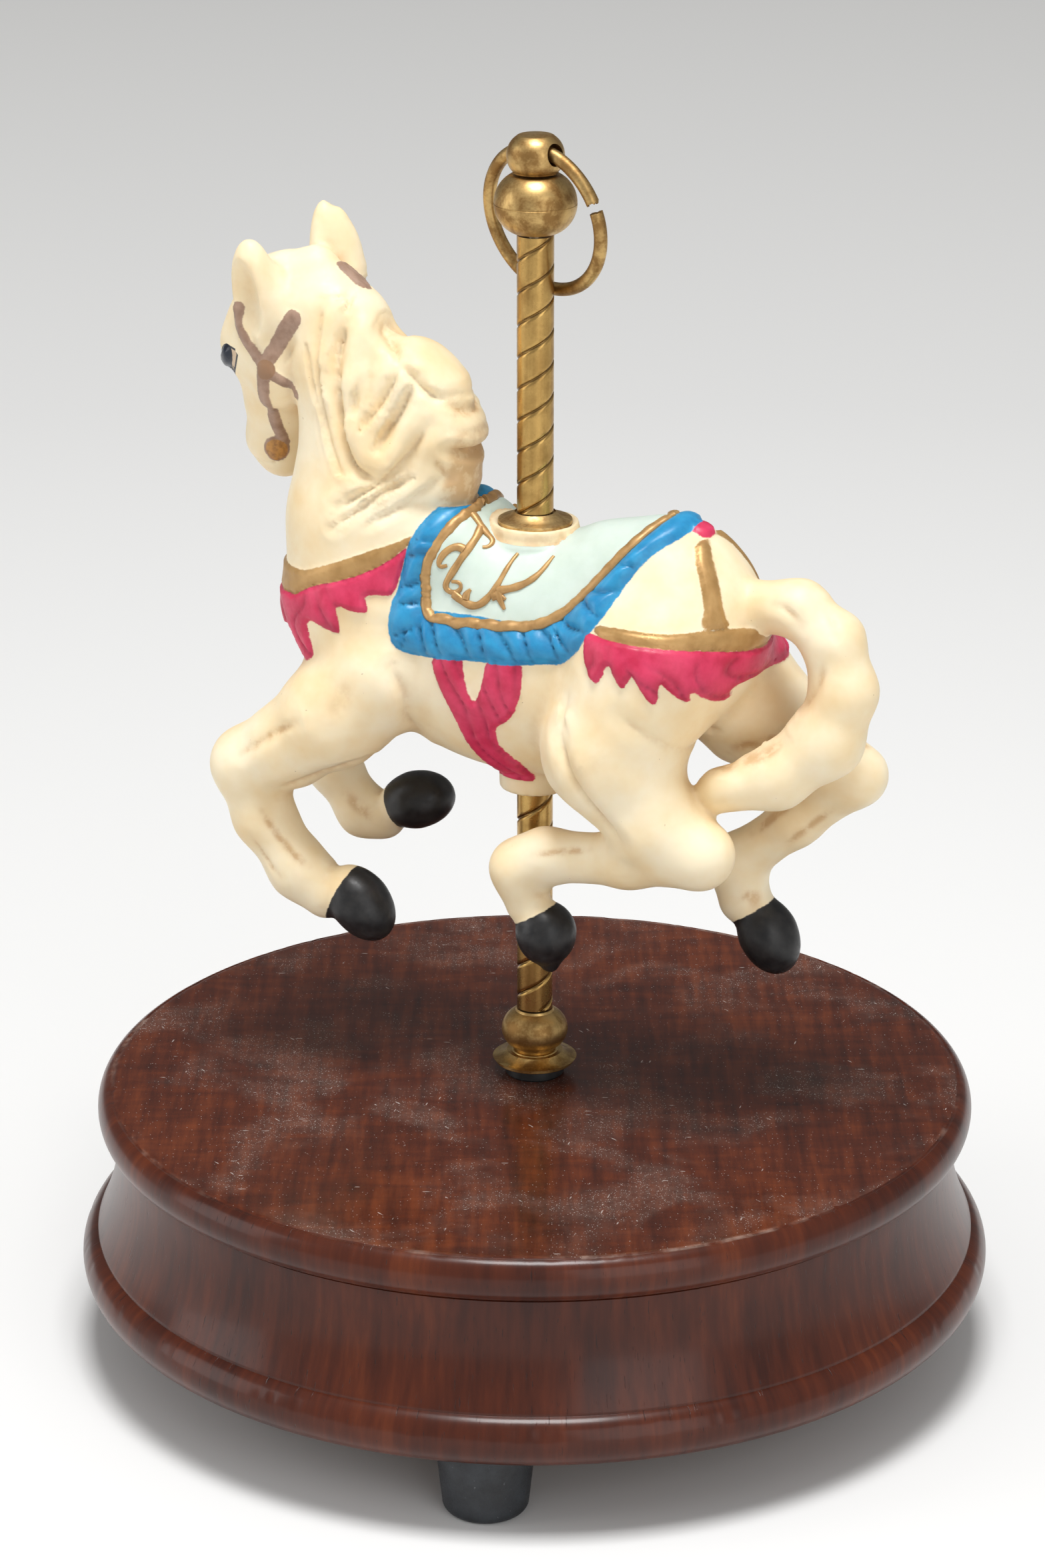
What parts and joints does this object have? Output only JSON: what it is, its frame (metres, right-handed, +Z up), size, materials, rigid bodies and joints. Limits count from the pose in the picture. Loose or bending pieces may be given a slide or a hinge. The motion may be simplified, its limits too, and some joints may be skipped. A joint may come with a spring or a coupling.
{
  "type": "carousel music box",
  "caption": "Wind-up music box: a turned wooden base with rubber feet and a musical movement inside turns a porcelain horse on a brass pole with a ball finial and a loose brass ring.",
  "frame": {"origin": "centre of the round base on the plane that its feet stand on", "axes": "+Z up along the pole, the horse faces -X and its left side faces -Y"},
  "size_m": [0.165, 0.165, 0.2215],
  "materials": {
    "mahogany": "red-brown lacquered hardwood, satin",
    "board": "plain hardboard",
    "rubber": "matt black rubber",
    "bush": "black moulded nylon",
    "steel": "plain steel",
    "spring_steel": "blued spring steel",
    "zinc": "die-cast zinc",
    "brass": "aged satin brass",
    "bisque": "unglazed hand-painted bisque porcelain"
  },
  "bodies": {
    "base": {"wooden_base": "mahogany", "bottom_cover": "board", "cover_screw_1": "steel", "cover_screw_2": "steel", "cover_screw_3": "steel", "foot_1": "rubber", "foot_2": "rubber", "foot_3": "rubber", "foot_screw_1": "steel", "foot_screw_2": "steel", "foot_screw_3": "steel", "pole_bush": "bush", "bedplate": "zinc", "movement_screw_1": "steel", "movement_screw_2": "steel", "movement_screw_3": "steel", "spring_housing": "zinc", "mainspring": "spring_steel", "cylinder_bracket_inner": "zinc", "cylinder_bracket_outer": "zinc", "comb": "steel", "comb_rest": "zinc", "comb_screw_1": "steel", "comb_screw_2": "steel", "governor_frame": "zinc"},
    "carousel": {"drive_wheel": "brass", "drive_spindle": "steel", "tie_rod": "steel", "lower_flange": "brass", "lower_ball": "brass", "lower_pole": "brass", "horse": "bisque", "saddle_flange": "brass", "upper_pole": "brass", "finial_ball": "brass", "finial_cap": "brass"},
    "key": {"winding_key": "brass", "spring_arbor": "steel"},
    "cylinder": {"pinned_cylinder": "brass", "cylinder_arbor": "steel", "cylinder_wheel": "brass"},
    "governor": {"governor_wheel": "brass"},
    "fly": {"governor_fly": "steel"},
    "ring": {"brass_ring": "brass"}
  },
  "joints": [
    {"name": "pole_turn", "type": "hinge", "parent": "base", "child": "carousel", "pos_m": [0, 0, 0.05], "axis": [0, 0, 1], "continuous": true},
    {"name": "key_wind", "type": "hinge", "parent": "carousel", "child": "key", "pos_m": [0, 0, 0.02], "axis": [0, 0, 1], "continuous": true},
    {"name": "cylinder_spin", "type": "hinge", "parent": "base", "child": "cylinder", "pos_m": [0.03, 0, 0.0257], "axis": [1, 0, 0], "continuous": true},
    {"name": "governor_spin", "type": "hinge", "parent": "base", "child": "governor", "pos_m": [0.045, 0.00795, 0.0257], "axis": [1, 0, 0], "continuous": true},
    {"name": "fly_spin", "type": "hinge", "parent": "base", "child": "fly", "pos_m": [0.045, 0.01345, 0.03], "axis": [0, 0, 1], "continuous": true},
    {"name": "ring_swing", "type": "hinge", "parent": "carousel", "child": "ring", "pos_m": [0, 0, 0.2186], "axis": [0.9511, -0.309, 0], "range_deg": [0, 338]}
  ],
  "couplings": [
    {"joint": "cylinder_spin", "follows": "pole_turn", "ratio": -5},
    {"joint": "governor_spin", "follows": "pole_turn", "ratio": 20},
    {"joint": "fly_spin", "follows": "pole_turn", "ratio": -80}
  ]
}
